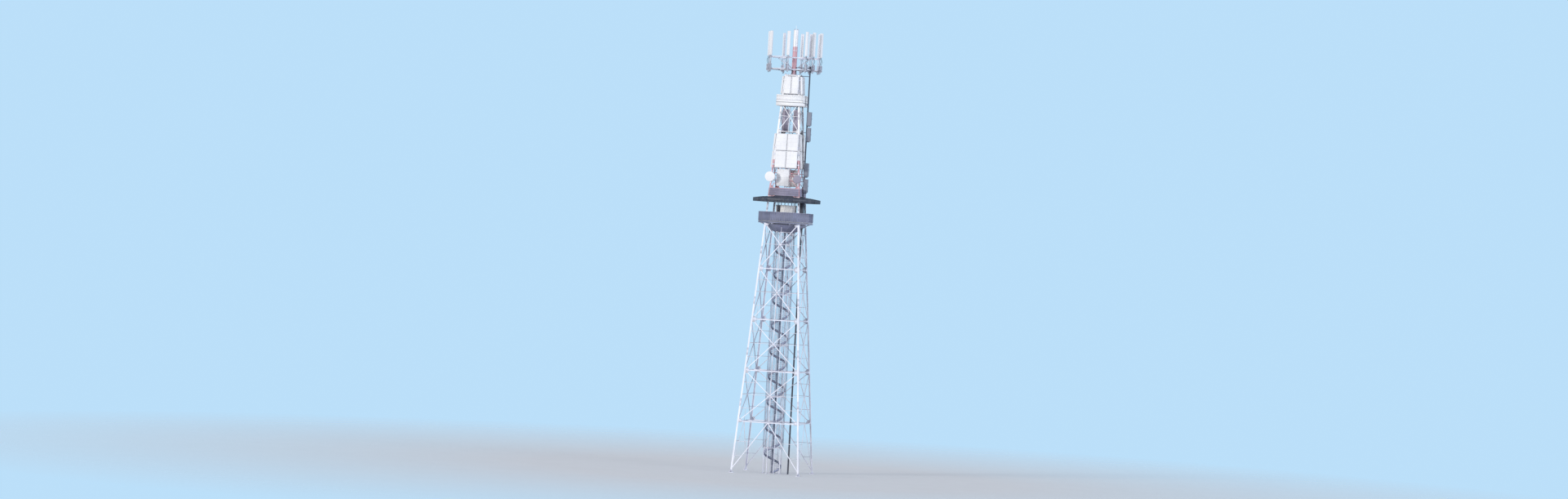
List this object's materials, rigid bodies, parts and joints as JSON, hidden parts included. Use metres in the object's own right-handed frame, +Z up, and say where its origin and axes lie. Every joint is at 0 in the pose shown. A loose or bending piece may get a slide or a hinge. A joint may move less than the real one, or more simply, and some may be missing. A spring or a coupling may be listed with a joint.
{
  "type": "observation tower with antenna mast, 1:2 scale model",
  "caption": "Tapered square lattice tower with a spiral stair inside, an eight-sided viewing deck under a thin round roof, and a banded antenna mast above. 1:2 scale model.",
  "frame": {"origin": "on the ground at the centre of the stair's newel plate, which is the centre of the tower", "axes": "+Z up along the tower's axis, -Y out of the entrance side, +X to the side with the cable ladder"},
  "size_m": [4.82, 4.82, 30],
  "materials": {
    "galvanised_steel": "matte",
    "grating_steel": "matte",
    "dark_paint": "satin",
    "banded_paint": "satin",
    "antenna_shell": "matte",
    "radio_shell": "matte",
    "white_paint": "satin",
    "cabinet_paint": "satin",
    "cable_jacket": "matte",
    "lamp_glass": "gloss"
  },
  "bodies": {
    "root": {"array_rails": "galvanised_steel", "base_plates": "galvanised_steel", "broadcast_panels": "antenna_shell", "cabinet_floor": "grating_steel", "cable_ladder": "galvanised_steel", "crown_arms": "galvanised_steel", "crown_booms": "galvanised_steel", "crown_pipes": "galvanised_steel", "deck_beams": "dark_paint", "deck_floor": "grating_steel", "deck_soffit": "dark_paint", "deck_struts": "galvanised_steel", "dish_mounts": "galvanised_steel", "equipment_cabinets": "cabinet_paint", "feeder_cables": "cable_jacket", "foot_braces": "galvanised_steel", "junction_boxes": "radio_shell", "ladder_supports": "galvanised_steel", "leg_back_left": "galvanised_steel", "leg_back_right": "galvanised_steel", "leg_front_left": "galvanised_steel", "leg_front_right": "galvanised_steel", "lightning_spike": "banded_paint", "lower_lattice_back": "galvanised_steel", "lower_lattice_front": "galvanised_steel", "lower_lattice_left": "galvanised_steel", "lower_lattice_right": "galvanised_steel", "mast_head": "banded_paint", "mast_ladder": "galvanised_steel", "microwave_dishes": "antenna_shell", "newel": "galvanised_steel", "obstruction_lights": "lamp_glass", "panel_antennas": "antenna_shell", "parapet_posts": "dark_paint", "parapet_rail": "dark_paint", "parapet_sheets": "dark_paint", "platform_arms": "galvanised_steel", "platform_rails": "white_paint", "radio_units": "radio_shell", "rest_platform": "grating_steel", "roof_fascia": "dark_paint", "roof_rafters": "dark_paint", "roof_sheets": "dark_paint", "shaft_hoops": "galvanised_steel", "shaft_posts": "galvanised_steel", "shaft_ties": "galvanised_steel", "stair_enclosure": "white_paint", "stair_flight_1": "grating_steel", "stair_flight_2": "grating_steel", "stair_flight_3": "grating_steel", "stair_flight_4": "grating_steel", "stair_flight_5": "grating_steel", "top_pole": "banded_paint", "upper_lattice_back": "banded_paint", "upper_lattice_front": "banded_paint", "upper_lattice_left": "banded_paint", "upper_lattice_right": "banded_paint"}
  },
  "joints": []
}
